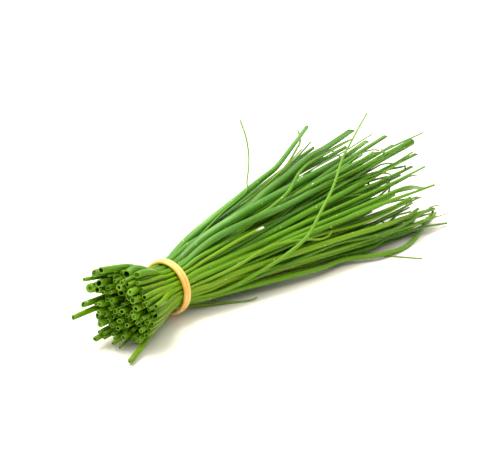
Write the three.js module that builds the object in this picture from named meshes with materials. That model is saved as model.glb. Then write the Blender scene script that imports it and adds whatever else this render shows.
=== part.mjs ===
// A bunch of fresh chives lying on its side, held by one rubber band wound double.
// Millimetres, +Z up. The leaves run along X, from their cut ends at -X to their tips at +X, and the band
// is where the bunch is narrowest. Every leaf is one slender tube-shaped solid. The leaves are laid out as a
// full bunch first, then pressed apart until none of them touch, as they settle when the band is pulled on.
import * as THREE from 'three';
import { mergeVertices } from 'three/addons/utils/BufferGeometryUtils.js';

// ---- rubber band ----
const bandInnerRadius = 9.8;
const strandRadius = 0.82;
const strandPitch = 1.76; // centre to centre of the two turns where they lie side by side
const bandCentreHeight = 12.7;
const crossingAngle = -0.55; // where one turn passes over the other, radians from +Y towards +Z
const crossingSpread = 0.55; // how long the crossing takes, radians
const strandSides = 6;
const ringTube = 0.1; // the plain ring's tube radius, before it is shaped into the band
const bandSteps = 88; // steps along both turns together

// ---- leaves ----
const plainLeafCount = 32;
const leafSides = 6;
const thinnestLeaf = 1.0; // radii of the plain leaves
const thickestLeaf = 1.5;
const topLeafExtra = 0.5; // the leaves on the far upper side are the thickest
const pinchDepth = 0.25; // how much the band squeezes a leaf's section
const pinchLength = 12;
const cutEndMiddle = -33; // the cut ends stand about here
const cutEndSlant = 4.5; // and further out on the far side by this much, nearer on the near side
const cutEndSpread = 8; // between the longest and the shortest
const tipNear = 126; // and so do the tips
const tipFar = 160;
const tipTaper = 0.58; // a plain leaf's radius at its tip, over its full radius
const taperStart = 55; // a leaf keeps its full radius up to here
const tipDriftWidth = 0.42; // how far a tip strays from its own place, over the bunch's half width
const cutDriftWidth = 0.2;
const goldenAngle = Math.PI * (3 - Math.sqrt(5));
const upperFarSide = [0.5, 0.86]; // which way in the section the thickest leaves lie
const tipTaperRange = [0.7, 1.15]; // how far one leaf's taper may differ from the usual
const tipDriftFrom = 15; // a leaf starts to stray here, and has strayed fully so much further on
const tipDriftOver = 130;
const cutDriftOver = 35;
const cutEndBendFrom = -6; // where a leaf with its own cut end leaves its place in the bunch

// ---- how the leaves settle ----
const leafGap = 0.42; // clear space between neighbours
const leafGapAtBand = 0.3;
const settleRounds = 560;
const pushPlaces = [0, 0.25, 0.5, 0.75]; // shares of the way to the next station where neighbours are tested
const pullHome = 0.04; // share of the way back to its own place that a leaf moves in a round
const stiffness = 0.3; // share of the way to a straight run
const endStiffness = 0.12; // the same, at a leaf's first and last station
const bandClearance = 0.35; // between the band and the outermost leaves
const besideBandRoom = 1.6; // how far the leaves may bulge beyond the band's inner radius just beside it

// Where the leaves' sections are set out along the bunch.
const stations = [-46, -34, -22, -10, -3, 3, 10, 24, 44, 70, 100, 132, 166];

// The bunch's outline at some places along it: sideways centre, centre height, half width and half height,
// all to the middle of the outermost leaves.
const outline = [
  { x: -46, y: -9.5, z: 18, wide: 15.8, high: 16.2 },
  { x: -34, y: -7, z: 16.6, wide: 14.2, high: 14.4 },
  { x: -22, y: -3.8, z: 14.8, wide: 12.3, high: 12.1 },
  { x: -10, y: -1, z: 13.2, wide: 10.2, high: 10 },
  { x: 0, y: 0, z: 12.7, wide: 8.8, high: 8.8 },
  { x: 10, y: 0, z: 12.8, wide: 9.8, high: 9.4 },
  { x: 24, y: 0, z: 13.2, wide: 12.4, high: 10.6 },
  { x: 44, y: 0, z: 14.8, wide: 17.2, high: 12.6 },
  { x: 70, y: 0, z: 16.8, wide: 22.5, high: 14.8 },
  { x: 100, y: -1, z: 18.2, wide: 28, high: 16.2 },
  { x: 132, y: -2, z: 19.6, wide: 33, high: 17.6 },
  { x: 166, y: -3, z: 21, wide: 37, high: 19 },
];

// Leaves placed one by one. `at` is the leaf's place in the bunch, as a fraction of the outline's half width
// and half height. `path` is where it goes once it has left that place, as [x, y, z], and `cutEnd` is where
// its cut end stands if that sticks out. `tip` is its radius at the tip, over its full radius.
const placedLeaves = [
  {
    name: 'leaf_high', at: [0.45, 0.85], radius: 1.7, tip: 0.62,
    path: [[60, 10, 30], [72, 16, 31], [96, 20, 33.5], [118, 27.5, 36], [145, 36, 41]],
  },
  {
    name: 'leaf_folded_tip', at: [0.15, 0.95], radius: 2.1, tip: 0.8,
    path: [[68, 6.5, 30.5], [92, 9, 33.6], [114, 12, 36.8], [132, 15.5, 37], [158, 18, 39.5]],
  },
  { name: 'leaf_thick_upper', at: [-0.2, 0.7], radius: 2.0, tip: 0.6, path: [[156, 8, 36]] },
  {
    name: 'whisker_upright', at: [0.3, 0.92], radius: 0.5, tip: 0.45,
    path: [[60, 7, 32], [64, 10.8, 32.9], [72, 16.5, 35.5], [80, 21.8, 42], [86, 28.2, 49.7], [90, 34.8, 56]],
  },
  {
    name: 'whisker_slanting', at: [0.3, 0.6], radius: 0.5, tip: 0.45,
    path: [[132, 4, 37.5], [145, 4.5, 39], [158, 6, 39.5]],
  },
  {
    name: 'leaf_sagging', at: [-0.8, -0.55], radius: 1.25, tip: 0.7,
    path: [
      [72, -22, 4.5],
      [87, -26, 3.4],
      [104, -34.5, 2.6],
      [118, -36.5, 1.6],
      [133, -34.5, 1.5],
      [150, -29, 1.4],
      [171, -24, 1.4],
    ],
  },
  {
    name: 'leaf_low_thin', at: [-0.3, -0.85], radius: 0.65, tip: 0.6,
    path: [[84, -10, 0.8], [96, -20, 0.8], [106, -31, 0.8], [115, -49, 0.8]],
  },
  {
    name: 'leaf_floor_stray', at: [-0.1, -0.95], radius: 0.6, tip: 0.6,
    path: [[12, -4, 1.1], [22, -10.5, 1], [31, -17, 1], [34, -18.5, 1.6]],
  },
  {
    name: 'leaf_crossing', at: [-0.85, -0.35], radius: 0.8, tip: 0.45,
    path: [
      [30, -14.5, 10],
      [46, -20.5, 14.6],
      [53, -22.2, 17.4],
      [61, -24.2, 21.6],
      [67, -24.5, 26.5],
      [73, -23, 31],
      [84, -20.5, 35.5],
      [94, -17, 41],
      [104, -12.5, 44],
      [114, -9, 46],
      [128, -4.5, 50],
      [143, 0, 54.2],
    ],
  },
  {
    name: 'leaf_arching', at: [-0.4, 0.85], radius: 0.85, tip: 0.5,
    path: [[66, -8, 33], [72, -6, 35], [84, -2, 38], [95, 1, 39.5], [112, 2, 41], [136, 4, 42]],
  },
  {
    name: 'leaf_hooked', at: [-0.95, 0.15], radius: 0.8, tip: 0.55,
    path: [[38, -16.5, 21], [50, -19, 20.5], [62, -22, 19.2], [73, -26, 17.6], [79, -27.5, 19.5]],
  },
  {
    name: 'leaf_short_top', at: [-0.62, 0.72], radius: 0.95, tip: 0.85,
    path: [[27, -10.5, 24.5], [46, -12.6, 28.6]],
  },
  { name: 'leaf_kinked', at: [-0.75, 0.3], radius: 1.25, tip: 0.7, path: [[132, -28, 25], [162, -22, 16]] },
  {
    name: 'leaf_long_yellow', at: [-0.85, -0.05], radius: 1.3, tip: 0.75,
    path: [[80, -25, 14], [112, -31.5, 14], [144, -30, 10], [160, -29, 7]],
  },
  {
    name: 'leaf_long_low', at: [-0.85, -0.3], radius: 0.9, tip: 0.4,
    path: [[112, -33, 9.5], [150, -33, 6], [176, -31, 2.2]],
  },
  {
    name: 'leaf_low_side', at: [-0.7, -0.4], radius: 1.1, tip: 0.7,
    path: [[100, -27, 7], [124, -27, 5], [141, -29, 4.8]],
  },
  { name: 'leaf_tip_1', at: [0.1, 0.45], radius: 1.5, tip: 0.8, path: [[161, 0, 39]] },
  { name: 'leaf_tip_2', at: [-0.25, 0.6], radius: 1.8, tip: 0.9, path: [[166, -12, 37]] },
  { name: 'leaf_tip_3', at: [-0.5, 0.5], radius: 1.3, tip: 0.8, path: [[167, -14, 31]] },
  { name: 'leaf_tip_4', at: [-0.35, 0.25], radius: 1.4, tip: 0.8, path: [[162, -15, 26]] },
  { name: 'leaf_tip_5', at: [-0.55, 0.1], radius: 1.3, tip: 0.7, path: [[163, -14, 21]] },
  { name: 'leaf_wisp', at: [-0.3, 0.8], radius: 1.1, tip: 0.3, path: [[140, -14, 41], [171, -15, 41]] },
  {
    name: 'leaf_butt_stub', at: [0.85, -0.05], radius: 1.15, tip: 0.6,
    cutEnd: [-47, 4, 15], path: [[146, 32, 14]],
  },
  {
    name: 'leaf_butt_splayed', at: [-0.45, -0.6], radius: 1.5, tip: 0.6,
    cutEnd: [-41, -18.5, 1.5], path: [[146, -12, 7]],
  },
  {
    name: 'leaf_butt_high', at: [0.5, 0.6], radius: 0.9, tip: 0.5,
    cutEnd: [-43, 1, 30], path: [[138, 20, 32]],
  },
  {
    name: 'leaf_butt_top', at: [0.2, 0.7], radius: 1.4, tip: 0.6,
    cutEnd: [-40, -5, 33.5], path: [[150, 10, 30]],
  },
  {
    name: 'leaf_butt_crossing', at: [-0.1, 0.97], radius: 0.8, tip: 0.5,
    cutEnd: [-27, -4, 32], path: [[130, -8, 36]],
  },
];

// ---- small helpers ----
let seed = 20261;
function random() {
  seed = (seed * 16807) % 2147483647;
  return seed / 2147483647;
}

const mix = (a, b, t) => a + (b - a) * t;
const clamp01 = (t) => Math.min(1, Math.max(0, t));
const ease = (t) => clamp01(t) ** 2 * (3 - 2 * clamp01(t));

function outlineAt(x) {
  const next = Math.min(outline.length - 1, Math.max(1, outline.findIndex((row) => row.x >= x)));
  const [low, high] = [outline[next - 1], outline[next]];
  const t = clamp01((x - low.x) / (high.x - low.x));
  const row = {};
  for (const key of ['y', 'z', 'wide', 'high']) row[key] = mix(low[key], high[key], t);
  return row;
}

function curveThrough(points) {
  return new THREE.CatmullRomCurve3(points.map((p) => new THREE.Vector3(...p)), false, 'centripetal');
}

// The point of a path at a given x. The path never turns back along X.
function pathAt(path, x) {
  if (path.length === 1) return { y: path[0][1], z: path[0][2] };
  const points = curveThrough(path).getPoints(40 * path.length);
  let k = 1;
  while (k < points.length - 1 && points[k].x < x) k += 1;
  const t = clamp01((x - points[k - 1].x) / (points[k].x - points[k - 1].x));
  return { y: mix(points[k - 1].y, points[k].y, t), z: mix(points[k - 1].z, points[k].z, t) };
}

// ---- laying out the bunch ----
function plainLeaf(index) {
  const spread = Math.sqrt((index + 0.5) / plainLeafCount);
  const turn = index * goldenAngle;
  const at = [spread * Math.cos(turn), spread * Math.sin(turn)];
  const upperFar = Math.max(0, upperFarSide[0] * at[0] + upperFarSide[1] * at[1]);
  return {
    name: `leaf_${String(index + 1).padStart(2, '0')}`,
    at,
    radius: mix(thinnestLeaf, thickestLeaf, random()) + topLeafExtra * upperFar,
    tip: tipTaper * mix(...tipTaperRange, random()),
    cutX: cutEndOf(at),
    tipX: mix(tipNear, tipFar, random()),
    tipDrift: [tipDriftWidth * (random() - 0.5), tipDriftWidth * (random() - 0.5)],
    cutDrift: [cutDriftWidth * (random() - 0.5), cutDriftWidth * (random() - 0.5)],
  };
}

function cutEndOf(at) {
  return cutEndMiddle - cutEndSlant * at[0] + cutEndSpread * (random() - 0.5);
}

function placedLeaf(leaf) {
  return {
    ...leaf,
    cutX: leaf.cutEnd ? leaf.cutEnd[0] : cutEndOf(leaf.at),
    tipX: leaf.path.at(-1)[0],
    tipDrift: [0, 0],
    cutDrift: [0, 0],
  };
}

// Where a leaf would run if it kept its own place in the bunch.
function ownPlace(leaf, x) {
  const row = outlineAt(x);
  const drift = x > 0 ? leaf.tipDrift : leaf.cutDrift;
  const amount = x > 0 ? ease((x - tipDriftFrom) / tipDriftOver) : ease(-x / cutDriftOver);
  return {
    y: row.y + row.wide * (leaf.at[0] + drift[0] * amount),
    z: row.z + row.high * (leaf.at[1] + drift[1] * amount),
  };
}

function wantedPlace(leaf, x) {
  const own = ownPlace(leaf, x);
  if (leaf.cutEnd && x < cutEndBendFrom) {
    const t = ease((x - cutEndBendFrom) / (leaf.cutEnd[0] - cutEndBendFrom));
    return { y: mix(own.y, leaf.cutEnd[1], t), z: mix(own.z, leaf.cutEnd[2], t) };
  }
  if (leaf.path && x > 3) {
    const start = leaf.path[0];
    if (x >= start[0]) return pathAt(leaf.path, x);
    const t = ease((x - 3) / (start[0] - 3));
    return { y: mix(own.y, start[1], t), z: mix(own.z, start[2], t) };
  }
  return own;
}

function radiusAt(leaf, x) {
  const pinch = 1 - pinchDepth * Math.exp(-((x / pinchLength) ** 2));
  const start = Math.min(taperStart, 0.4 * leaf.tipX); // a short leaf narrows sooner
  const taper = mix(1, leaf.tip, clamp01((x - start) / (leaf.tipX - start)));
  return leaf.radius * pinch * taper;
}

// ---- pressing the leaves apart ----
// Each leaf has one movable point at every station; a point that a placed path sets is held still.
function settle(leaves) {
  const points = leaves.map((leaf) => stations.map((x) => ({
    ...wantedPlace(leaf, x),
    held: Boolean(leaf.path) && x >= leaf.path[0][0],
    radius: radiusAt(leaf, x),
  })));
  const wanted = points.map((row) => row.map((p) => ({ ...p })));
  const shows = (leaf, k) => {
    const before = stations[Math.max(0, k - 1)];
    const after = stations[Math.min(stations.length - 1, k + 1)];
    return leaf.cutX <= after && leaf.tipX >= before;
  };

  function straighten(freedom) {
    points.forEach((row, i) => row.forEach((p, k) => {
      if (p.held) return;
      p.y = mix(p.y, wanted[i][k].y, pullHome * freedom);
      p.z = mix(p.z, wanted[i][k].z, pullHome * freedom);
      const inner = Math.min(stations.length - 2, Math.max(1, k)); // the first and last carry straight on
      const atEnd = inner !== k;
      const before = atEnd ? inner : k - 1;
      const after = atEnd ? 2 * inner - k : k + 1;
      const t = (stations[k] - stations[before]) / (stations[after] - stations[before]);
      const share = atEnd ? endStiffness * freedom : stiffness * freedom;
      p.y = mix(p.y, mix(row[before].y, row[after].y, t), share);
      p.z = mix(p.z, mix(row[before].z, row[after].z, t), share);
    }));
  }

  // Pushes two leaves apart at a point a share `t` of the way from station k to the next one.
  function pushApart(a, b, k, t) {
    const [a0, a1, b0, b1] = [a[k], a[k + 1] ?? a[k], b[k], b[k + 1] ?? b[k]];
    const dy = mix(b0.y, b1.y, t) - mix(a0.y, a1.y, t);
    const dz = mix(b0.z, b1.z, t) - mix(a0.z, a1.z, t);
    const apart = Math.max(1e-6, Math.hypot(dy, dz));
    const gap = Math.abs(stations[k]) < 5 ? leafGapAtBand : leafGap;
    const needed = mix(a0.radius, a1.radius, t) + mix(b0.radius, b1.radius, t) + gap;
    if (apart >= needed) return;
    const push = 0.5 * (needed - apart) / apart;
    for (const [point, sign, share] of [[a0, -1, 1 - t], [a1, -1, t], [b0, 1, 1 - t], [b1, 1, t]]) {
      if (point.held) continue;
      point.y += sign * share * push * dy;
      point.z += sign * share * push * dz;
    }
  }

  function keepInside(p, k) {
    if (p.held) return;
    const underBand = Math.abs(stations[k]) < 5;
    const limit = bandInnerRadius + (underBand ? -bandClearance : besideBandRoom) - p.radius;
    if (Math.abs(stations[k]) <= 10) {
      const out = Math.hypot(p.y, p.z - bandCentreHeight);
      if (out > limit) {
        p.y *= limit / out;
        p.z = bandCentreHeight + (p.z - bandCentreHeight) * limit / out;
      }
    }
    p.z = Math.max(p.z, p.radius);
  }

  for (let round = 0; round < settleRounds; round += 1) {
    straighten(clamp01(1.25 * (1 - round / settleRounds))); // the last rounds only push apart
    for (let k = 0; k < stations.length; k += 1) {
      for (let i = 0; i < leaves.length; i += 1) {
        for (let j = i + 1; j < leaves.length; j += 1) {
          if (!shows(leaves[i], k) || !shows(leaves[j], k)) continue;
          for (const t of pushPlaces) pushApart(points[i], points[j], k, t);
        }
      }
      points.forEach((row) => keepInside(row[k], k));
    }
  }
  return points;
}

// ---- solids ----
// A closed cylinder bent along the leaf: its rings move to the leaf's sections and take their radii.
function leafGeometry(rings) {
  const steps = rings.length - 1;
  let geometry = new THREE.CylinderGeometry(1, 1, steps, leafSides, steps);
  geometry.deleteAttribute('normal');
  geometry.deleteAttribute('uv');
  geometry = mergeVertices(geometry, 1e-4);
  const position = geometry.attributes.position;
  const up = new THREE.Vector3(0, 0, 1);
  for (let v = 0; v < position.count; v += 1) {
    const k = Math.round(steps / 2 - position.getY(v));
    const [behind, ahead] = [rings[Math.max(0, k - 1)].centre, rings[Math.min(steps, k + 1)].centre];
    const along = ahead.clone().sub(behind).normalize();
    const rise = up.clone().addScaledVector(along, -up.dot(along)).normalize();
    const side = rise.clone().cross(along);
    const point = rings[k].centre.clone();
    point.addScaledVector(side, rings[k].radius * position.getX(v));
    point.addScaledVector(rise, rings[k].radius * position.getZ(v));
    position.setXYZ(v, point.x, point.y, point.z);
  }
  geometry.computeVertexNormals();
  return geometry;
}

function ringsOf(leaf, points) {
  const inside = stations.filter((x) => x > leaf.cutX + 4 && x < leaf.tipX - 6);
  const bends = (leaf.path ?? []).slice(1, -1).map((p) => p[0]);
  const extra = bends.filter((x) => stations.every((s) => Math.abs(s - x) > 3));
  const places = [leaf.cutX, ...inside, ...extra, leaf.tipX].sort((a, b) => a - b);
  return places.map((x) => {
    let place;
    if (leaf.path && x >= leaf.path[0][0]) {
      place = pathAt(leaf.path, x);
    } else {
      const k = Math.min(stations.length - 1, Math.max(1, stations.findIndex((s) => s >= x)));
      const t = (x - stations[k - 1]) / (stations[k] - stations[k - 1]);
      place = { y: mix(points[k - 1].y, points[k].y, t), z: mix(points[k - 1].z, points[k].z, t) };
    }
    const radius = radiusAt(leaf, x);
    return { centre: new THREE.Vector3(x, place.y, Math.max(place.z, radius)), radius };
  });
}

// One closed strand that goes round twice. The two turns lie side by side, and swap over at the crossing.
function bandGeometry() {
  let geometry = new THREE.TorusGeometry(1, ringTube, strandSides, bandSteps);
  geometry.deleteAttribute('normal');
  geometry.deleteAttribute('uv');
  geometry = mergeVertices(geometry, 1e-4);
  const position = geometry.attributes.position;
  const middle = bandInnerRadius + strandRadius;
  for (let v = 0; v < position.count; v += 1) {
    const [tx, ty, tz] = [position.getX(v), position.getY(v), position.getZ(v)];
    const around = (Math.atan2(ty, tx) + 2 * Math.PI) % (2 * Math.PI);
    const outward = (Math.hypot(tx, ty) - 1) / ringTube;
    const alongX = tz / ringTube;
    const angle = 2 * around; // two turns
    const turn = Math.floor((angle - crossingAngle + Math.PI) / (2 * Math.PI));
    const sinceCrossing = angle - crossingAngle - 2 * Math.PI * turn;
    const swap = Math.PI * (turn + ease(0.5 + sinceCrossing / (2 * crossingSpread)));
    const lift = 0.5 * strandPitch * Math.sin(swap);
    const radius = middle + lift + Math.abs(lift) + strandRadius * outward;
    position.setXYZ(
      v,
      -0.5 * strandPitch * Math.cos(swap) + strandRadius * alongX,
      radius * Math.cos(angle),
      bandCentreHeight + radius * Math.sin(angle),
    );
  }
  geometry.computeVertexNormals();
  return geometry;
}

// ---- the bunch ----
const bandMaterial = new THREE.MeshStandardMaterial({ color: 0xf6b452, roughness: 0.55, metalness: 0 });
const darkGreen = new THREE.Color(0x3f8a2e);
const brightGreen = new THREE.Color(0x8cc63f);

function leafMaterial() {
  const color = darkGreen.clone().lerp(brightGreen, random());
  return new THREE.MeshStandardMaterial({ color, roughness: 0.45, metalness: 0 });
}

const bunch = new THREE.Group();
const band = new THREE.Mesh(bandGeometry(), bandMaterial);
band.name = 'rubber_band';
bunch.add(band);

const leaves = [];
for (let index = 0; index < plainLeafCount; index += 1) leaves.push(plainLeaf(index));
for (const leaf of placedLeaves) leaves.push(placedLeaf(leaf));

const settled = settle(leaves);
leaves.forEach((leaf, i) => {
  const mesh = new THREE.Mesh(leafGeometry(ringsOf(leaf, settled[i])), leafMaterial());
  mesh.name = leaf.name;
  bunch.add(mesh);
});

// The origin is on the surface that the bunch lies on, below the middle of its box.
const box = new THREE.Box3().setFromObject(bunch);
const middle = box.getCenter(new THREE.Vector3());
bunch.position.set(-middle.x, -middle.y, -box.min.z);

export default bunch;
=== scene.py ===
import math

import bpy
import numpy as np
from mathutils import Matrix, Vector


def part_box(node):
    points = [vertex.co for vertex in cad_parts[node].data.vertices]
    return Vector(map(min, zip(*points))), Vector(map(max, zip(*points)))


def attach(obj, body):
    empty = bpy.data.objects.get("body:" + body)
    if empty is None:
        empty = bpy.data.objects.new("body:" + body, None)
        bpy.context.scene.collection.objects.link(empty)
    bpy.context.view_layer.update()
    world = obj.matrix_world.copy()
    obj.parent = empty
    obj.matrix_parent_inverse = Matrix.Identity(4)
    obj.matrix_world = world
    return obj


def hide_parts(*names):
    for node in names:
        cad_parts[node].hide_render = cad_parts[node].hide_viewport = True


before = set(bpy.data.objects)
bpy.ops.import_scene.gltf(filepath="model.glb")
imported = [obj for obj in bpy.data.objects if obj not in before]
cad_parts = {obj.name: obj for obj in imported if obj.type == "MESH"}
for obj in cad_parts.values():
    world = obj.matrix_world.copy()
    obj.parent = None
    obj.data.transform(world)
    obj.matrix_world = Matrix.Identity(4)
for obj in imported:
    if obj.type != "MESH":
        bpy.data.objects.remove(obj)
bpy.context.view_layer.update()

mm = 0.001
bandLow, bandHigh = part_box("rubber_band")
bandOuter = (bandHigh.z - bandLow.z) / 2
bandCentre = (bandLow + bandHigh) / 2     # everything else is measured from here
bandCentre.y = bandLow.y + bandOuter      # its box is wider than the ring, by the crossing on the far side
print("frame loaded,", len(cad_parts), "nodes")


# small helpers

def linearColour(hexText):
    values = [int(hexText[i:i + 2], 16) / 255 for i in (1, 3, 5)]
    linear = [v / 12.92 if v <= 0.04045 else ((v + 0.055) / 1.055) ** 2.4 for v in values]
    return (*linear, 1.0)


def activate(obj):
    bpy.ops.object.select_all(action="DESELECT")
    obj.select_set(True)
    bpy.context.view_layer.objects.active = obj


def applyModifiers(obj):
    activate(obj)
    for modifier in list(obj.modifiers):
        bpy.ops.object.modifier_apply(modifier=modifier.name)


def getPoints(mesh):
    points = np.empty(len(mesh.vertices) * 3)
    mesh.vertices.foreach_get("co", points)
    return points.reshape(-1, 3)


def setPoints(mesh, points):
    mesh.vertices.foreach_set("co", np.asarray(points, float).ravel())
    mesh.update()


def selectEdges(obj, wanted):
    activate(obj)
    bpy.ops.object.mode_set(mode="EDIT")
    bpy.ops.mesh.select_mode(type="EDGE")
    bpy.ops.mesh.select_all(action="DESELECT")
    bpy.ops.object.mode_set(mode="OBJECT")
    points = obj.data.vertices
    for edge in obj.data.edges:
        edge.select = bool(wanted(points[edge.vertices[0]].co, points[edge.vertices[1]].co))


def selectFaces(obj, wanted):
    activate(obj)
    bpy.ops.object.mode_set(mode="EDIT")
    bpy.ops.mesh.select_mode(type="FACE")
    bpy.ops.mesh.select_all(action="DESELECT")
    bpy.ops.object.mode_set(mode="OBJECT")
    for face in obj.data.polygons:
        face.select = bool(wanted(face.center, face.normal))


# Adds a node with its settings and links, and a colour ramp's stops.
def addNode(tree, kind, settings=None, links=None, stops=None):
    node = tree.nodes.new(kind)
    for key, value in (settings or {}).items():
        if isinstance(key, int) or key in node.inputs:
            node.inputs[key].default_value = value
        else:
            setattr(node, key, value)
    for key, source in (links or {}).items():
        tree.links.new(source, node.inputs[key])
    if stops:
        elements = node.color_ramp.elements
        elements.remove(elements[-1])
        elements[0].position, elements[0].color = stops[0][0], linearColour(stops[0][1])
        for place, colour in stops[1:]:
            elements.new(place).color = linearColour(colour)
    return node


def newMaterial(name):
    material = bpy.data.materials.new(name)
    material.use_nodes = True
    tree = material.node_tree
    return material, tree, tree.nodes["Principled BSDF"]


mixShare, mixFirst, mixSecond, mixResult = 0, 6, 7, 2     # the sockets of a Mix node that are for colours


# materials

leafFinish = {
    "young": "#709600",       # thin new leaves, yellow-green
    "grown": "#588C00",
    "mature": "#3C6E00",
    "bloomedAndHighlit": "#4F8C1E",     # thick old leaves under a pale waxy bloom, made lighter as painted highlight
    # pale patches: partly the waxy bloom, partly painted highlight
    "bloomAndHighlight": "#9CCB76",
    "cutEnd": "#587E00",      # painted shade: the last millimetres before the butt's cut, darker green as if shaded by the butt face
    "cutShadeReach": 9 * mm,
    "dryTip": "#8F9440",
    "whiteTip": "#EDEFD0",    # the end of one short leaf has bleached
    "tipReach": 5 * mm,
    "dustAndGlint": "#E9F5D2",       # pale specks: dust, and painted glints where tiny drops on the skin catch the light
    "streakSpread": 0.34,     # how far the streaks move a leaf's tone
    "baseReach": (10 * mm, 65 * mm),
    "baseTone": (-0.3, -0.04),
    "ribs": 22,               # fine lengthwise ribs round a leaf
    "ribDepth": 0.07 * mm,
    "roughness": 0.36,
    "ior": 1.42,
    "specular": 0.38,
}


# Chive leaf skin, grown, waxy: satin light along the leaf, fine ribs, streaks, and a pale bloom on old ones
# that is partly painted highlight.
def makeLeafSkin():
    material, tree, shader = newMaterial("chive leaf skin, waxy")
    tone = addNode(tree, "ShaderNodeAttribute", {"attribute_name": "leafTone"}).outputs["Fac"]
    along = addNode(tree, "ShaderNodeAttribute", {"attribute_name": "alongLeaf"}).outputs["Vector"]
    place = addNode(tree, "ShaderNodeSeparateXYZ", links={"Vector": along})
    fromCut, fromTip, dryness = place.outputs["X"], place.outputs["Y"], place.outputs["Z"]
    uv = addNode(tree, "ShaderNodeUVMap", {"uv_map": "leafMap"}).outputs["UV"]

    # streaks run the leaf's length: many round it, few along it
    narrow = addNode(tree, "ShaderNodeMapping", {"Scale": (9, 0.9, 1)}, {"Vector": uv})
    streak = addNode(tree, "ShaderNodeTexNoise", {"Scale": 2.2, "Detail": 5, "Roughness": 0.6},
                     {"Vector": narrow.outputs["Vector"]})
    spread = leafFinish["streakSpread"]
    toneSpread = addNode(tree, "ShaderNodeMath", {"operation": "MULTIPLY_ADD", 1: spread, 2: -spread / 2},
                         {0: streak.outputs["Fac"]})
    # a leaf is youngest and yellowest near its base
    baseStart, baseEnd = leafFinish["baseReach"]
    youngest, older = leafFinish["baseTone"]
    baseAge = addNode(tree, "ShaderNodeMapRange",
                      {"From Min": baseStart, "From Max": baseEnd, "To Min": youngest, "To Max": older},
                      {"Value": fromCut})
    ownTone = addNode(tree, "ShaderNodeMath", {"operation": "ADD"}, {0: tone, 1: baseAge.outputs[0]})
    toneHere = addNode(tree, "ShaderNodeMath", {"operation": "ADD"},
                       {0: ownTone.outputs[0], 1: toneSpread.outputs[0]})
    greens = addNode(tree, "ShaderNodeValToRGB", links={"Fac": toneHere.outputs[0]},
                     stops=[(0.02, leafFinish["young"]), (0.34, leafFinish["grown"]),
                            (0.66, leafFinish["mature"]), (0.97, leafFinish["bloomedAndHighlit"])])

    # the bloom, partly painted highlight, lies in long soft patches, and only on the older leaves
    long = addNode(tree, "ShaderNodeMapping", {"Scale": (1.6, 0.16, 1)}, {"Vector": uv})
    bloomAndHighlightPatches = addNode(tree, "ShaderNodeTexNoise", {"Scale": 1.6, "Detail": 2},
                      {"Vector": long.outputs["Vector"]})
    bloomAndHighlightWhere = addNode(tree, "ShaderNodeMapRange", {"From Min": 0.5, "From Max": 0.72},
                         {"Value": bloomAndHighlightPatches.outputs["Fac"]})
    bloomAge = addNode(tree, "ShaderNodeMapRange", {"From Min": 0.45, "From Max": 1.0, "To Max": 0.5},
                       {"Value": tone})
    bloomAndHighlightAmount = addNode(tree, "ShaderNodeMath", {"operation": "MULTIPLY"},
                          {0: bloomAndHighlightWhere.outputs[0], 1: bloomAge.outputs[0]})
    bloomedAndHighlit = addNode(tree, "ShaderNodeMix",
                      {"data_type": "RGBA", mixSecond: linearColour(leafFinish["bloomAndHighlight"])},
                      {mixShare: bloomAndHighlightAmount.outputs[0], mixFirst: greens.outputs["Color"]})

    # painted shade before the cut, and withered at the tip
    nearCutShade = addNode(tree, "ShaderNodeMapRange",
                      {"From Min": 0.0, "From Max": leafFinish["cutShadeReach"], "To Min": 0.75, "To Max": 0.0},
                      {"Value": fromCut})
    cutShaded = addNode(tree, "ShaderNodeMix",
                    {"data_type": "RGBA", mixSecond: linearColour(leafFinish["cutEnd"])},
                    {mixShare: nearCutShade.outputs[0], mixFirst: bloomedAndHighlit.outputs[mixResult]})
    nearTip = addNode(tree, "ShaderNodeMapRange",
                      {"From Min": 0.0, "From Max": leafFinish["tipReach"], "To Min": 1.0, "To Max": 0.0},
                      {"Value": fromTip})
    tipDry = addNode(tree, "ShaderNodeMath", {"operation": "MULTIPLY"}, {0: nearTip.outputs[0], 1: dryness})
    bleached = addNode(tree, "ShaderNodeMapRange", {"From Min": 0.7, "From Max": 0.9}, {"Value": dryness})
    tipColour = addNode(tree, "ShaderNodeMix", {"data_type": "RGBA",
                                                mixFirst: linearColour(leafFinish["dryTip"]),
                                                mixSecond: linearColour(leafFinish["whiteTip"])},
                        {mixShare: bleached.outputs[0]})
    tipped = addNode(tree, "ShaderNodeMix", {"data_type": "RGBA"},
                     {mixShare: tipDry.outputs[0], mixFirst: cutShaded.outputs[mixResult],
                      mixSecond: tipColour.outputs[mixResult]})

    # only the highest peaks of the noise are specks: dust, and painted glints of tiny drops
    even = addNode(tree, "ShaderNodeMapping", {"Scale": (1, 0.8, 1)}, {"Vector": uv})
    dustAndGlintNoise = addNode(tree, "ShaderNodeTexNoise", {"Scale": 7.5, "Detail": 1},
                   {"Vector": even.outputs["Vector"]})
    dustAndGlintWhere = addNode(tree, "ShaderNodeMapRange", {"From Min": 0.735, "From Max": 0.77, "To Max": 0.8},
                        {"Value": dustAndGlintNoise.outputs["Fac"]})
    dustedAndGlinting = addNode(tree, "ShaderNodeMix",
                     {"data_type": "RGBA", mixSecond: linearColour(leafFinish["dustAndGlint"])},
                     {mixShare: dustAndGlintWhere.outputs[0], mixFirst: tipped.outputs[mixResult]})
    tree.links.new(dustedAndGlinting.outputs[mixResult], shader.inputs["Base Color"])

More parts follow.
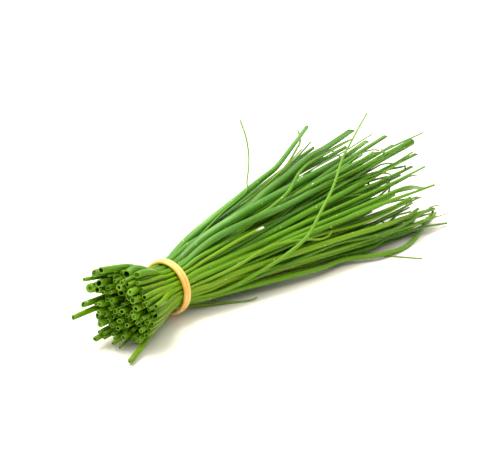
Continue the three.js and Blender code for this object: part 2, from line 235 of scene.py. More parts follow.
    # ribs: a wave round the leaf, broken up along it
    ribWave = addNode(tree, "ShaderNodeTexWave",
                      {"wave_type": "BANDS", "bands_direction": "X", "Scale": leafFinish["ribs"] / math.pi,
                       "Distortion": 1.2, "Detail": 2, "Detail Scale": 0.6}, {"Vector": uv})
    height = addNode(tree, "ShaderNodeMath", {"operation": "MULTIPLY_ADD", 1: 0.6},
                     {0: ribWave.outputs["Fac"], 2: streak.outputs["Fac"]})
    bump = addNode(tree, "ShaderNodeBump", {"Strength": 0.5, "Distance": leafFinish["ribDepth"]},
                   {"Height": height.outputs[0]})
    tree.links.new(bump.outputs["Normal"], shader.inputs["Normal"])
    shader.inputs["Roughness"].default_value = leafFinish["roughness"]
    shader.inputs["IOR"].default_value = leafFinish["ior"]
    shader.inputs["Specular IOR Level"].default_value = leafFinish["specular"]
    shader.inputs["Subsurface Weight"].default_value = 0.12      # light goes a little way into a leaf
    shader.inputs["Subsurface Radius"].default_value = (0.7, 1.0, 0.1)
    shader.inputs["Subsurface Scale"].default_value = 1.2 * mm
    return material


cutFinish = {"deep": "#4A7A04", "pale": "#76A018", "roughness": 0.42, "specular": 0.25}


# Cut leaf flesh, sliced, moist: lighter than the hollow that it goes round, so every cut end shows as a ring.
def makeCutFlesh():
    material, tree, shader = newMaterial("cut chive flesh, moist")
    coords = addNode(tree, "ShaderNodeTexCoord").outputs["Object"]
    grain = addNode(tree, "ShaderNodeTexNoise", {"Scale": 900, "Detail": 3}, {"Vector": coords})
    ramp = addNode(tree, "ShaderNodeValToRGB", links={"Fac": grain.outputs["Fac"]},
                   stops=[(0.3, cutFinish["deep"]), (0.7, cutFinish["pale"])])
    tree.links.new(ramp.outputs["Color"], shader.inputs["Base Color"])
    bump = addNode(tree, "ShaderNodeBump", {"Strength": 0.3, "Distance": 0.05 * mm},
                   {"Height": grain.outputs["Fac"]})
    tree.links.new(bump.outputs["Normal"], shader.inputs["Normal"])
    shader.inputs["Roughness"].default_value = cutFinish["roughness"]
    shader.inputs["Specular IOR Level"].default_value = cutFinish["specular"]
    return material


# the lining's colours, from the rim to deep inside: painted shade that darkens into the hollow
liningFinish = {"rim": "#3E6C02", "middle": "#305800", "deep": "#204400", "roughness": 0.6, "specular": 0.15}


# Inside of a hollow leaf, a dull membrane with painted shade: darker with depth, so the cut ends read as open
# tubes.
def makeShadedHollowLining():
    material, tree, shader = newMaterial("chive hollow lining, membrane, painted shade in depth")
    along = addNode(tree, "ShaderNodeAttribute", {"attribute_name": "alongLeaf"}).outputs["Vector"]
    place = addNode(tree, "ShaderNodeSeparateXYZ", links={"Vector": along})
    coords = addNode(tree, "ShaderNodeTexCoord").outputs["Object"]
    grain = addNode(tree, "ShaderNodeTexNoise", {"Scale": 500, "Detail": 3}, {"Vector": coords})
    # painted shade: the deeper into the hollow, the darker the colour
    depth = addNode(tree, "ShaderNodeMath", {"operation": "MULTIPLY_ADD", 1: 0.12 / mm},
                    {0: place.outputs["X"], 2: grain.outputs["Fac"]})
    ramp = addNode(tree, "ShaderNodeValToRGB", links={"Fac": depth.outputs[0]},
                   stops=[(0.35, liningFinish["rim"]), (0.65, liningFinish["middle"]),
                          (1.0, liningFinish["deep"])])
    tree.links.new(ramp.outputs["Color"], shader.inputs["Base Color"])
    shader.inputs["Roughness"].default_value = liningFinish["roughness"]
    shader.inputs["Specular IOR Level"].default_value = liningFinish["specular"]
    return material


bandFinish = {"light": "#FFD898", "main": "#FDC268", "deep": "#EBA040", "roughness": 0.46, "ior": 1.52}


# Natural rubber, cut from a dipped tube and stretched: matte, with fine streaks along the strand.
def makeRubber():
    material, tree, shader = newMaterial("natural rubber, stretched")
    uv = addNode(tree, "ShaderNodeUVMap", {"uv_map": "strandMap"}).outputs["UV"]
    stretched = addNode(tree, "ShaderNodeMapping", {"Scale": (7, 0.35, 1)}, {"Vector": uv})
    streak = addNode(tree, "ShaderNodeTexNoise", {"Scale": 3, "Detail": 5, "Roughness": 0.65},
                     {"Vector": stretched.outputs["Vector"]})
    blotch = addNode(tree, "ShaderNodeTexNoise", {"Scale": 0.22, "Detail": 2}, {"Vector": uv})
    both = addNode(tree, "ShaderNodeMath", {"operation": "MULTIPLY_ADD", 1: 0.5},
                   {0: blotch.outputs["Fac"], 2: streak.outputs["Fac"]})
    ramp = addNode(tree, "ShaderNodeValToRGB", links={"Fac": both.outputs[0]},
                   stops=[(0.52, bandFinish["deep"]), (0.7, bandFinish["main"]), (0.95, bandFinish["light"])])
    tree.links.new(ramp.outputs["Color"], shader.inputs["Base Color"])
    bump = addNode(tree, "ShaderNodeBump", {"Strength": 0.35, "Distance": 0.06 * mm},
                   {"Height": streak.outputs["Fac"]})
    tree.links.new(bump.outputs["Normal"], shader.inputs["Normal"])
    shader.inputs["Roughness"].default_value = bandFinish["roughness"]
    shader.inputs["IOR"].default_value = bandFinish["ior"]
    shader.inputs["Subsurface Weight"].default_value = 0.15
    shader.inputs["Subsurface Radius"].default_value = (1.0, 0.5, 0.2)
    shader.inputs["Subsurface Scale"].default_value = 0.8 * mm
    return material


# the rubber band

bandShape = {
    "ringThick": 1.64 * mm,     # from the ring's inside to its outside
    "strandThick": 1.66 * mm,
    "strandOut": 0.8 * mm,      # from the ring's inside to the strand's middle
    "pitch": 1.72 * mm,
    "crossing": -0.55,          # radians from +Y towards +Z
    "crossingSpread": 0.6,
    "steps": 260,
}
bandInner = bandOuter - bandShape["ringThick"]


def ease(t):
    t = min(1.0, max(0.0, t))
    return t * t * (3 - 2 * t)


# One strand that goes round twice: the two turns lie side by side and swap places at the crossing.
def makeBand():
    points = []
    for i in range(bandShape["steps"]):
        angle = 4 * math.pi * i / bandShape["steps"]
        turn = math.floor((angle - bandShape["crossing"] + math.pi) / (2 * math.pi))
        since = angle - bandShape["crossing"] - 2 * math.pi * turn
        swap = math.pi * (turn + ease(0.5 + since / (2 * bandShape["crossingSpread"])))
        lift = 0.5 * bandShape["pitch"] * math.sin(swap)
        radius = bandInner + bandShape["strandOut"] + lift + abs(lift)
        points.append((bandCentre.x - 0.5 * bandShape["pitch"] * math.cos(swap),
                       bandCentre.y + radius * math.cos(angle),
                       bandCentre.z + radius * math.sin(angle)))
    curve = bpy.data.curves.new("bandPath", "CURVE")
    curve.dimensions = "3D"
    spline = curve.splines.new("POLY")
    spline.points.add(len(points) - 1)
    for point, place in zip(spline.points, points):
        point.co = (*place, 1)
    spline.use_cyclic_u = True
    curve.bevel_depth = bandShape["strandThick"] / 2
    curve.bevel_resolution = 4
    curve.use_fill_caps = False
    band = bpy.data.objects.new("doubleBand", curve)
    bpy.context.scene.collection.objects.link(band)
    activate(band)
    bpy.ops.object.convert(target="MESH")
    band = bpy.context.active_object
    band.data.materials.append(makeRubber())
    band.data.uv_layers[0].name = "strandMap"
    for polygon in band.data.polygons:
        polygon.use_smooth = True
    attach(band, "root")
    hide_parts("rubber_band")


# leaf paths, read from the CAD leaves

ringGap = 1.6 * mm      # rings of a CAD leaf stand further apart than this along X


def readLeaf(node):
    points = getPoints(node.data)
    points = points[np.argsort(points[:, 0])]
    breaks = np.nonzero(np.diff(points[:, 0]) > ringGap)[0] + 1
    centres, radii = [], []
    for ring in np.split(points, breaks):
        ring = np.unique(np.round(ring, 6), axis=0)
        centre = ring.mean(axis=0)
        centres.append(centre)
        radii.append(np.linalg.norm(ring - centre, axis=1).max())
    return {"path": np.array(centres), "radii": np.array(radii)}


# Where a leaf's path is at some x, sideways and up.
def placeAt(leaf, x):
    return np.array([np.interp(x, leaf["path"][:, 0], leaf["path"][:, k]) for k in (1, 2)])


# A smooth run through the points, with many more of them.
def smoothPath(path, radii, count):
    steps = np.linalg.norm(np.diff(path, axis=0), axis=1)
    reached = np.concatenate([[0], np.cumsum(steps)])
    padded = np.vstack([2 * path[0] - path[1], path, 2 * path[-1] - path[-2]])
    knots = np.concatenate([[-steps[0]], reached, [reached[-1] + steps[-1]]])
    distances = np.linspace(0, reached[-1], count)
    result = []
    for distance in distances:
        k = min(len(steps) - 1, max(0, np.searchsorted(reached, distance, side="right") - 1)) + 1
        gap = knots[k + 1] - knots[k]
        t = (distance - knots[k]) / gap
        slopeIn = (padded[k + 1] - padded[k - 1]) / (knots[k + 1] - knots[k - 1]) * gap
        slopeOut = (padded[k + 2] - padded[k]) / (knots[k + 2] - knots[k]) * gap
        result.append((2 * t**3 - 3 * t**2 + 1) * padded[k] + (t**3 - 2 * t**2 + t) * slopeIn
                      + (3 * t**2 - 2 * t**3) * padded[k + 1] + (t**3 - t**2) * slopeOut)
    return np.array(result), np.interp(distances, reached, radii)


# This and the next two give a changed copy of a leaf.
# A curl turns its tip back, upwards or to the side that is given.
def curlTip(leaf, radius, degrees, up=(0.0, 0.0, 1.0)):
    path, up = leaf["path"], np.array(up)
    along = path[-1] - path[-2]
    along = along - up * (along @ up)
    along /= np.linalg.norm(along)
    arcPoints = 9
    turns = np.radians(np.linspace(0, degrees, arcPoints)[1:])
    arc = [path[-1] + radius * (math.sin(t) * along + (1 - math.cos(t)) * up) for t in turns]
    narrowing = np.linspace(leaf["radii"][-1], 0.5 * leaf["radii"][-1], arcPoints)[1:]
    return {"path": np.vstack([path, arc]), "radii": np.concatenate([leaf["radii"], narrowing])}


# A trim ends it that much sooner along X.
def trimTip(leaf, amount):
    xs = leaf["path"][:, 0]
    shown = np.append(xs[xs < xs[-1] - 1.5 * amount], xs[-1] - amount)
    sideways, upward = np.interp(shown, xs, leaf["path"][:, 1]), np.interp(shown, xs, leaf["path"][:, 2])
    return {"path": np.column_stack([shown, sideways, upward]), "radii": np.interp(shown, xs, leaf["radii"])}


# A fold takes it on through points that are given from its end.
def foldTip(leaf, offsets):
    folded = [leaf["path"][-1] + np.array(offset) for offset in offsets]
    narrowing = np.linspace(leaf["radii"][-1], 0.6 * leaf["radii"][-1], len(folded) + 1)[1:]
    return {"path": np.vstack([leaf["path"], folded]), "radii": np.concatenate([leaf["radii"], narrowing])}


# how leaves lie in the band

squeezeShape = {
    "reach": 16 * mm,        # along the bunch, how far from the band the leaves are drawn outwards
    "mostStretch": 1.3,
    "heldReach": 7 * mm,     # and how far they are held inside the rubber
    "sectorStep": 15,        # degrees
}


# How far the leaves fall short of the ring, by angle round it.
def measureRing(leaves):
    angles = np.arange(0, 360, squeezeShape["sectorStep"])
    amounts = []
    for angle in angles:
        out = np.array([math.cos(math.radians(angle)), math.sin(math.radians(angle))])
        reach = 0
        for leaf in leaves:
            place = placeAt(leaf, bandCentre.x) - (bandCentre.y, bandCentre.z)
            radius = np.interp(bandCentre.x, leaf["path"][:, 0], leaf["radii"])
            aside = abs(place[0] * out[1] - place[1] * out[0])
            if place @ out > 0 and aside < radius:
                reach = max(reach, place @ out + math.sqrt(radius ** 2 - aside ** 2))
        amounts.append(min(squeezeShape["mostStretch"], max(1.0, bandInner / reach)) if reach else 1.0)
    return {"angles": angles, "amounts": np.array(amounts)}


# Draws a path outwards near the band, so that the leaves fill the ring all round.
def fillRing(path, radii):
    along = path[:, 0] - bandCentre.x
    sideways, upward = path[:, 1] - bandCentre.y, path[:, 2] - bandCentre.z
    sector = np.degrees(np.arctan2(upward, sideways)) % 360
    stretch = np.interp(sector, ringStretch["angles"], ringStretch["amounts"], period=360)
    amount = 1 + (stretch - 1) * np.exp(-(along / squeezeShape["reach"]) ** 2)
    # none of them may come out through the rubber
    out = np.hypot(sideways, upward) * amount
    past = np.maximum(1, out / (bandInner - 0.85 * radii))
    held = np.clip(1.6 - np.abs(along) / squeezeShape["heldReach"], 0, 1)
    amount = amount / (1 + (past - 1) * held)
    return np.column_stack([path[:, 0], bandCentre.y + sideways * amount, bandCentre.z + upward * amount])


# one leaf

leafShape = {
    "sides": 14,
    "rings": 60,
    "pathPoints": 34,
    "wall": 0.36,                            # of the leaf's radius
    "hollowSteps": (0.004, 0.012, 0.02, 0.03),
    "hollowDepth": (0.08 * mm, 0.7 * mm),
    "openDepth": 3.5 * mm,                   # of those that stand wide open
    "openShare": 0.22,
    "bendFrom": 0.72,                        # of the leaf's length, where its tip starts to stray
    "limpFrom": 0.8,                         # and where it starts to go limp
    "bandFlat": 0.08,                        # how much flatter a leaf is under the band
    "bandReach": 11 * mm,
    "foldWidth": 0.55,                       # radians
    "slantReach": 4 * mm,
}


# The leaf that every other is copied from: a straight tube of unit radius and length, hollow at its ends.
def makeMasterLeaf():
    bpy.ops.object.select_all(action="DESELECT")
    bpy.ops.mesh.primitive_cylinder_add(vertices=leafShape["sides"], radius=1, depth=1,
                                        location=(0.5, 0, 0), rotation=(0, math.pi / 2, 0))
    leaf = bpy.context.active_object
    leaf.name = "masterLeaf"
    bpy.ops.object.transform_apply(location=True, rotation=True, scale=True)
    selectEdges(leaf, lambda a, b: abs(a.x - b.x) > 0.5)
    bpy.ops.object.mode_set(mode="EDIT")
    bpy.ops.mesh.subdivide(number_cuts=leafShape["rings"])
    bpy.ops.object.mode_set(mode="OBJECT")
    for end, inward in ((0.0, 1), (1.0, -1)):
        selectFaces(leaf, lambda centre, normal: abs(centre.x - end) < 1e-4 and abs(normal.x) > 0.9)
        bpy.ops.object.mode_set(mode="EDIT")
        bpy.ops.mesh.inset(thickness=leafShape["wall"], use_boundary=True)
        for step in leafShape["hollowSteps"]:
            bpy.ops.mesh.extrude_region_move(TRANSFORM_OT_translate={"value": (step * inward, 0, 0)})
        bpy.ops.object.mode_set(mode="OBJECT")
    return leaf


# Gives the master its map and materials, and finds which of its points line the hollows.
def prepareMaster(leaf):
    mesh = leaf.data
    points = getPoints(mesh)
    reach = np.hypot(points[:, 1], points[:, 2])
    inner = reach < 1 - 0.5 * leafShape["wall"]
    for polygon in mesh.polygons:
        isInner = [inner[v] for v in polygon.vertices]
        polygon.material_index = 2 if all(isInner) else (1 if any(isInner) else 0)    # lining, flesh, skin
        polygon.use_smooth = True
    while mesh.uv_layers:
        mesh.uv_layers.remove(mesh.uv_layers[0])
    layer = mesh.uv_layers.new(name="leafMap")
    for polygon in mesh.polygons:
        angles = [math.atan2(points[v][2], points[v][1]) / (2 * math.pi) for v in polygon.vertices]
        wraps = max(angles) - min(angles) > 0.5
        for loop, angle in zip(polygon.loop_indices, angles):
            around = angle + 1 if wraps and angle < 0 else angle
            layer.data[loop].uv = (around, points[mesh.loops[loop].vertex_index][0])
    return points, inner


# The way a leaf lies: never quite straight, its tip straying sideways, inside the band and above the floor.
def layPath(path, radii, look, rng):
    count = leafShape["pathPoints"]
    path, radii = smoothPath(path, radii, count)
    share = np.linspace(0, 1, count)
    for axis in (1, 2):
        for waves in (2.3, 4.1):
            wander = look["wander"] / waves * np.sin(2 * math.pi * (waves * share + rng.random()))
            path[:, axis] += wander * np.minimum(1, 6 * share) * np.minimum(1, 8 * (1 - share))
    tipShare = np.clip((share - leafShape["bendFrom"]) / (1 - leafShape["bendFrom"]), 0, 1) ** 2
    path[:, 1] += tipShare * look["tipBend"][0]
    path[:, 2] += tipShare * look["tipBend"][1]
    path = fillRing(path, radii)
    path[:, 2] = np.maximum(path[:, 2], 1.02 * radii)
    return path, radii


# Shapes a copy of the master to its length, thickness, section and ends, while it's still straight.
def shapeLeaf(mesh, path, radii, length, look):
    share = np.linspace(0, 1, len(path))
    points = masterPoints
    hollow = masterInner
    fromCut = points[:, 0]
    # the hollows keep a real depth, whatever the leaf's length
    atButt = fromCut < 0.5
    depth = np.where(atButt, fromCut, 1 - fromCut)
    realDepth = np.minimum(depth / sum(leafShape["hollowSteps"]), 1) * look["hollowDepth"]
    x = fromCut * length
    x[hollow] = np.where(atButt[hollow], realDepth[hollow], length - realDepth[hollow])

    here = x / length
    radius = np.interp(here, share, radii) * np.interp(here, [0, 0.08], [look["cutNarrow"], 1])
    reach = np.hypot(points[:, 1], points[:, 2])
    reach = np.where(hollow, reach * look["hollow"], reach)
    angle = np.arctan2(points[:, 2], points[:, 1])
    # a leaf's section is a little flat, with one shallow fold, and flatter where the band squeezes it
    centreX = np.interp(here, share, path[:, 0])
    pinch = np.exp(-((centreX - bandCentre.x) / leafShape["bandReach"]) ** 2)
    atBand = int(np.argmin(np.abs(path[:, 0] - bandCentre.x)))
    squeeze = math.atan2(path[atBand, 2] - bandCentre.z, path[atBand, 1] - bandCentre.y)
    flat = look["flat"] + leafShape["bandFlat"] * pinch
    section = 1 - flat * np.cos(angle - squeeze) ** 2 + 0.55 * flat * np.sin(angle - squeeze) ** 2
    fromFold = np.angle(np.exp(1j * (angle - look["foldAngle"])))
    fold = 1 - look["fold"] * np.exp(-((fromFold / leafShape["foldWidth"]) ** 2))
    dentWave = np.sin(2 * math.pi * (here * look["dentPitch"] + look["foldAngle"]))
    dents = 1 + look["dents"] * dentWave * np.cos(angle)
    size = reach * radius * section * fold * dents
    y, z = size * np.cos(angle), size * np.sin(angle)
    # the tips are limp and squashed flat, more on some leaves than on others
    limp = look["limpTip"] * np.clip((here - leafShape["limpFrom"]) / (1 - leafShape["limpFrom"]), 0, 1)
    y, z = y * (1 + 0.25 * limp), z * (1 - 0.8 * limp)
    # slanted cuts
    nearButt = np.clip(1 - x / leafShape["slantReach"], 0, 1)
    nearTip = np.clip(1 - (length - x) / leafShape["slantReach"], 0, 1)
    x += nearButt * (look["cutSlant"][0] * y + look["cutSlant"][1] * z) - nearTip * look["tipSlant"] * z
    setPoints(mesh, np.column_stack([x, y, z]))
    return x


# What the leaf's materials read: metres from the cut, metres to the tip and dryness, its tone, and its map.
def markLeaf(mesh, x, length, look, rng):
    alongLeaf = mesh.attributes.new("alongLeaf", "FLOAT_VECTOR", "POINT")
    values = np.column_stack([x, length - x, np.full(len(x), look["dry"])])
    alongLeaf.data.foreach_set("vector", values.ravel())
    tone = mesh.attributes.new("leafTone", "FLOAT", "POINT")
    tone.data.foreach_set("value", np.full(len(x), look["tone"]))
    layer = mesh.uv_layers["leafMap"]
    uv = np.empty(len(layer.data) * 2)
    layer.data.foreach_get("uv", uv)
    uv = uv.reshape(-1, 2)
    uv[:, 1] = uv[:, 1] * length / (10 * mm) + 7.3 * rng.random()    # one unit is a centimetre
    uv[:, 0] += rng.integers(0, 20)
    layer.data.foreach_set("uv", uv.ravel())


def bendAlong(leaf, path):
    curve = bpy.data.curves.new(leaf.name + "Path", "CURVE")
    curve.dimensions = "3D"
    curve.twist_mode = "Z_UP"
    curve.resolution_u = 8
    curve.use_stretch = True
    curve.use_deform_bounds = True
    spline = curve.splines.new("BEZIER")
    spline.bezier_points.add(len(path) - 1)
    for point, place in zip(spline.bezier_points, path):
        point.co = place
        point.handle_left_type = "AUTO"
        point.handle_right_type = "AUTO"
    guide = bpy.data.objects.new(leaf.name + "Path", curve)
    bpy.context.scene.collection.objects.link(guide)
    bend = leaf.modifiers.new("bend", "CURVE")
    bend.object = guide
    bend.deform_axis = "POS_X"
    applyModifiers(leaf)
    bpy.data.objects.remove(guide)
    bpy.data.curves.remove(curve)


def makeLeaf(name, path, radii, look, rng):
    path, radii = layPath(path, radii, look, rng)
    length = np.linalg.norm(np.diff(path, axis=0), axis=1).sum()
    leaf = bpy.data.objects.new(name, masterLeaf.data.copy())
    leaf.data.name = name
    bpy.context.scene.collection.objects.link(leaf)
    x = shapeLeaf(leaf.data, path, radii, length, look)
    markLeaf(leaf.data, x, length, look, rng)
    bendAlong(leaf, path)
    for material in leafMaterials:
        leaf.data.materials.append(material)
    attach(leaf, "root")
    return leaf


# What is different on every leaf.
def leafLook(tone, rng):
    return {
        "tone": tone,
        "wander": 0.5 * mm * rng.random(),
        "flat": 0.04 + 0.10 * rng.random(),
        "fold": 0.16 * rng.random() ** 2,
        "foldAngle": 6.28 * rng.random(),
        "dents": 0.03 * rng.random(),
        "dentPitch": 3 + 5 * rng.random(),
        "cutSlant": (0.7 * (rng.random() - 0.5), 0.7 * (rng.random() - 0.5)),
        "tipSlant": 1.6 * (rng.random() - 0.4),
        "dry": 0.6 * rng.random() ** 3,
        "cutNarrow": rng.uniform(0.8, 0.98),
        "limpTip": rng.random() ** 1.5,
        "hollow": rng.choice((0.6, 0.8, 1.0, 1.1)),        # some hollows are squashed smaller
        "hollowDepth": leafShape["openDepth"] if rng.random() < leafShape["openShare"]
                       else rng.uniform(*leafShape["hollowDepth"]),
        "tipBend": (5 * mm * (rng.random() - 0.5), 3 * mm * (rng.random() - 0.5)),
    }


# the leaves that the CAD holds

straightTip = (0, 0)
thinnestShown = 0.36 * mm

# What a few leaves have of their own. A curl is its radius, its turn in degrees and which way it goes.
ownLooks = {
    "leaf_hooked": {"trim": 5 * mm, "curl": (2.1 * mm, 190), "tone": 0.12, "limpTip": 0.0, "thickness": 0.8},
    "leaf_folded_tip": {"limpTip": 1.0, "dry": 0.0, "fold": 0.3},
    "leaf_short_top": {"dry": 1.0, "tone": 0.14, "limpTip": 0.3, "wander": 0.0, "thickness": 0.72,
                       "tipBend": (0, -1.3 * mm)},
    "leaf_crossing": {"tone": 0.26, "wander": 0.0, "dry": 0.0},
    "leaf_sagging": {"tone": 0.3, "wander": 0.0},
    "leaf_long_yellow": {"tone": 0.16, "wander": 0.3 * mm,
                         "folds": [(-1.5 * mm, 1 * mm, -2.5 * mm), (-6 * mm, 0.6 * mm, -4.4 * mm),
                                   (-17 * mm, -2.5 * mm, -5.6 * mm)]},
    "leaf_tip_5": {"tone": 0.5, "curl": (2.6 * mm, 100, (0, -1, 0))},
    "whisker_upright": {"tone": 0.4, "dry": 0.0, "wander": 0.2 * mm},
    "whisker_slanting": {"tone": 0.4, "dry": 0.0, "wander": 0.0},
    "leaf_butt_splayed": {"tone": 0.2, "thickness": 0.78, "wander": 0.0},
    "leaf_butt_crossing": {"tone": 0.2, "wander": 0.0},
    "leaf_high": {"tone": 0.95},
    "leaf_thick_upper": {"tone": 0.8},
}


# Thick leaves and those on the upper far side are old and blue-green, with the pale bloom and painted
# highlight; thin near ones are young and yellow-green.
def toneOf(leaf, rng):
    place = placeAt(leaf, bandCentre.x + 60 * mm)
    upperFar = 0.5 * (place[0] - bandCentre.y) / (22 * mm) + 0.8 * (place[1] - 15 * mm) / (15 * mm)
    thick = leaf["radii"].max() / mm - 1.5
    return float(np.clip(0.44 + 0.27 * upperFar + 0.22 * thick + 0.22 * (rng.random() - 0.5), 0.02, 1))


rng = np.random.default_rng(7)
leafMaterials = [makeLeafSkin(), makeCutFlesh(), makeShadedHollowLining()]
masterLeaf = makeMasterLeaf()
masterPoints, masterInner = prepareMaster(masterLeaf)
cadLeaves = {name: readLeaf(node) for name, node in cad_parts.items() if name != "rubber_band"}
ringStretch = measureRing(cadLeaves.values())
for name, leaf in sorted(cadLeaves.items()):
    look = leafLook(toneOf(leaf, rng), rng)
    if not name[-2:].isdigit():
        look["tipBend"] = straightTip      # a leaf placed by itself keeps its tip where the CAD has it
    own = ownLooks.get(name, {})
    look.update(own)
    if "trim" in own:
        leaf = trimTip(leaf, own["trim"])
    if "curl" in own:
        leaf = curlTip(leaf, *own["curl"])
    if "folds" in own:
        leaf = foldTip(leaf, own["folds"])
    radii = np.maximum(leaf["radii"] * own.get("thickness", 1), thinnestShown)
    piece = makeLeaf("shown_" + name, leaf["path"], radii, look, rng)
    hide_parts(name)
print("leaves that the CAD holds:", len(cadLeaves))


# the leaves between them

fillLeaves = {
    "count": 108,
    "tries": 90,
    "radius": (0.6 * mm, 1.2 * mm),
    "checkedAt": (-34 * mm, -14 * mm, 30 * mm, 60 * mm, 100 * mm),    # along the bunch, from the band
    "carrierSpan": (-24 * mm, 118 * mm),     # CAD leaves at least this long lead the others
    "driftFrom": 12 * mm,
    "driftOver": 95 * mm,
    "starts": (32.5, 4, 4.5),                # mm before the band: middle, more to the far side, scatter
    "ends": (112, 163),                      # mm past the band
    "bandPinch": 0.36,
    "pinchReach": 12 * mm,
    "tipTaper": (0.35, 0.85),
    "tipBend": 12 * mm,
    "curled": 0.3,          # share of them with a curled tip
    "nearLow": 0.3,         # share of them that land on the low near side, where the bunch lies flat
    "sag": (0.2, 0.75),     # how much lower these lie at their tips
    "upperTips": 0.3,       # share of them that land among the long upper tips
    "upperPlace": (-10 * mm, 16 * mm),       # sideways and up from the band's middle
    "tone": (0.12, 0.56),   # lowest, and how much is added at most
}


# Leaves that run between the CAD's. Each keeps among three neighbours at the band, and drifts to three others
# on its way to the tips, so that leaves cross as they do in a real bunch.
def fillBetween():
    spanStart, spanEnd = (bandCentre.x + x for x in fillLeaves["carrierSpan"])
    carriers = [leaf for leaf in cadLeaves.values()
                if leaf["path"][0, 0] < spanStart and leaf["path"][-1, 0] > spanEnd]
    stations = np.array([bandCentre.x + x for x in fillLeaves["checkedAt"]])
    xs = bandCentre.x + np.linspace(-46, 166, 40) * mm
    buttStep, tipStep = 3, 30
    runs = np.array([[placeAt(leaf, x) for x in xs] for leaf in carriers])
    atButt, atTips = runs[:, buttStep], runs[:, tipStep]
    apartAtButt = np.linalg.norm(atButt[:, None] - atButt[None], axis=2)
    apartAtTips = np.linalg.norm(atTips[:, None] - atTips[None], axis=2)
    group = 11
    lowNear = np.argsort(atTips[:, 0] + 1.2 * atTips[:, 1])[:group]
    upperTips = np.argsort(np.linalg.norm(atTips - fillLeaves["upperPlace"] - bandCentre.yz, axis=1))[:group]
    lastLowNear = fillLeaves["nearLow"] * fillLeaves["count"]
    lastUpper = (fillLeaves["nearLow"] + fillLeaves["upperTips"]) * fillLeaves["count"]
    drift = np.clip((xs - bandCentre.x - fillLeaves["driftFrom"]) / fillLeaves["driftOver"], 0, 1)
    drift = (drift * drift * (3 - 2 * drift))[:, None]
    taken = [(np.array([placeAt(leaf, x) for x in stations]),
              np.interp(stations, leaf["path"][:, 0], leaf["radii"])) for leaf in cadLeaves.values()]
    made = []
    for number in range(fillLeaves["count"]):
        radius = rng.uniform(*fillLeaves["radius"])
        best, bestRoom = None, -1e9
        for _ in range(fillLeaves["tries"]):
            first = rng.integers(len(carriers))
            leaving = [first, *rng.choice(np.argsort(apartAtButt[first])[1:8], 2, replace=False)]
            landing = rng.choice(np.argsort(apartAtTips[first])[:10], 3, replace=False)
            if number < lastLowNear:
                landing = rng.choice(lowNear, 3, replace=False)
            elif number < lastUpper:
                landing = rng.choice(upperTips, 3, replace=False)
            run = (np.tensordot(rng.dirichlet((4, 4, 4)), runs[leaving], 1) * (1 - drift)
                   + np.tensordot(rng.dirichlet((1.2, 1.2, 1.2)), runs[landing], 1) * drift)
            places = np.column_stack([np.interp(stations, xs, run[:, k]) for k in (0, 1)])
            room = min((np.linalg.norm(places - other, axis=1) - otherRadius - radius * 0.9).min()
                       for other, otherRadius in taken)
            if room > bestRoom:
                best, bestRoom = (run, places), room
        run, places = best
        taken.append((places, np.full(len(stations), radius)))
        if number < lastLowNear:
            sag = rng.uniform(*fillLeaves["sag"]) * drift[:, 0]
            run = np.column_stack([run[:, 0], run[:, 1] * (1 - sag)])
        sideways = (places[0, 0] - bandCentre.y) / (14 * mm)
        before, farther, scatter = fillLeaves["starts"]
        start = bandCentre.x - (before + farther * sideways + rng.uniform(-scatter, scatter)) * mm
        end = bandCentre.x + rng.uniform(*fillLeaves["ends"]) * mm
        shown = np.linspace(start, end, 22)
        yz = np.column_stack([np.interp(shown, xs, run[:, k]) for k in (0, 1)])
        fromBand = (shown - bandCentre.x) / fillLeaves["pinchReach"]
        pinch = 1 - fillLeaves["bandPinch"] * np.exp(-fromBand ** 2)
        taper = np.interp(shown, [bandCentre.x + 40 * mm, end], [1, rng.uniform(*fillLeaves["tipTaper"])])
        made.append({"path": np.column_stack([shown, yz]), "radii": radius * pinch * taper})
    return made


for number, leaf in enumerate(fillBetween(), 1):
    lowest, added = fillLeaves["tone"]
    look = leafLook(lowest + added * rng.random(), rng)
    look["tipBend"] = tuple(fillLeaves["tipBend"] * (rng.random(2) - 0.5))
    if rng.random() < fillLeaves["curled"]:
        aside = rng.uniform(0, 2 * math.pi)
        towards = (0.0, math.cos(aside), math.sin(aside))
        leaf = curlTip(leaf, rng.uniform(1.6, 4) * mm, rng.uniform(60, 170), towards)
    radii = np.maximum(leaf["radii"], thinnestShown)
    makeLeaf("fill_leaf_%02d" % number, leaf["path"], radii, look, rng)
bpy.data.objects.remove(masterLeaf)
print("leaves between them:", fillLeaves["count"])

makeBand()
print("band made")


# floor, light and camera

studio = {
    "floorSide": 12.0,
    "floorColour": "#ECE7DC",
    "skyColour": (1.0, 0.99, 0.96, 1),
    "skyFrom": (-0.12, 0.22, 0.97),                    # the big soft box hangs above and a little behind
    "skyBright": 1.9,                                  # where it hangs
    "skyDim": 0.10,                                    # at the horizon, where the room is dark
    "keyColour": (1.0, 0.985, 0.95),
    "keyStrength": 3.0,
    "keySpread": math.radians(30),
    "keyFrom": (math.radians(-4), math.radians(75)),   # azimuth past the back, elevation
}
viewing = {
    "azimuth": math.radians(-52),
    "elevation": math.radians(20),
    "distance": 0.442,
    "fieldOfView": math.radians(25),
    "bandAcross": -0.0736,      # where the band's middle stands, as slopes from the view's axis
    "bandUp": -0.0541,
}


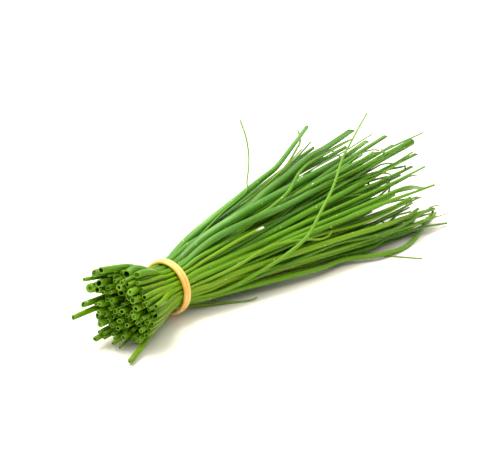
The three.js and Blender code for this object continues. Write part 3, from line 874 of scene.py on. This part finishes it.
def makeStudio():
    bpy.ops.object.select_all(action="DESELECT")
    bpy.ops.mesh.primitive_plane_add(size=studio["floorSide"], location=(0, 0, 0))
    floor = bpy.context.active_object
    floor.name = "floor"
    material, _, shader = newMaterial("white card, matte")
    shader.inputs["Base Color"].default_value = linearColour(studio["floorColour"])
    shader.inputs["Roughness"].default_value = 0.9
    shader.inputs["Specular IOR Level"].default_value = 0.1
    floor.data.materials.append(material)

    world = bpy.data.worlds.new("softLight")
    bpy.context.scene.world = world
    world.use_nodes = True
    tree = world.node_tree
    direction = addNode(tree, "ShaderNodeTexCoord").outputs["Generated"]
    brightest = Vector(studio["skyFrom"]).normalized()
    facing = addNode(tree, "ShaderNodeVectorMath", {"operation": "DOT_PRODUCT", 1: brightest}, {0: direction})
    fade = addNode(tree, "ShaderNodeMapRange",
                   {"From Min": 0.05, "From Max": 0.75,
                    "To Min": studio["skyDim"], "To Max": studio["skyBright"]},
                   {"Value": facing.outputs["Value"]})
    background = tree.nodes["Background"]
    background.inputs["Color"].default_value = studio["skyColour"]
    tree.links.new(fade.outputs["Result"], background.inputs["Strength"])

    azimuth, elevation = studio["keyFrom"]
    towards = Vector((math.sin(azimuth) * math.cos(elevation), math.cos(azimuth) * math.cos(elevation),
                      math.sin(elevation)))
    bpy.ops.object.light_add(type="SUN", location=towards)
    key = bpy.context.active_object
    key.rotation_euler = towards.to_track_quat("Z", "Y").to_euler()
    key.data.color = studio["keyColour"]
    key.data.energy = studio["keyStrength"]
    key.data.angle = studio["keySpread"]


def makeCamera():
    azimuth, elevation = viewing["azimuth"], viewing["elevation"]
    outward = Vector((math.sin(azimuth) * math.cos(elevation), -math.cos(azimuth) * math.cos(elevation),
                      math.sin(elevation)))
    rotation = outward.to_track_quat("Z", "Y")
    right, up = rotation @ Vector((1, 0, 0)), rotation @ Vector((0, 1, 0))
    away = outward - viewing["bandAcross"] * right - viewing["bandUp"] * up
    bpy.ops.object.camera_add(location=bandCentre + viewing["distance"] * away, rotation=rotation.to_euler())
    camera = bpy.context.active_object
    camera.data.sensor_fit = "HORIZONTAL"
    camera.data.angle = viewing["fieldOfView"]
    camera.data.clip_start = 0.01
    bpy.context.scene.camera = camera


makeStudio()
makeCamera()
bpy.context.scene.view_settings.view_transform = "Standard"
print("studio ready")
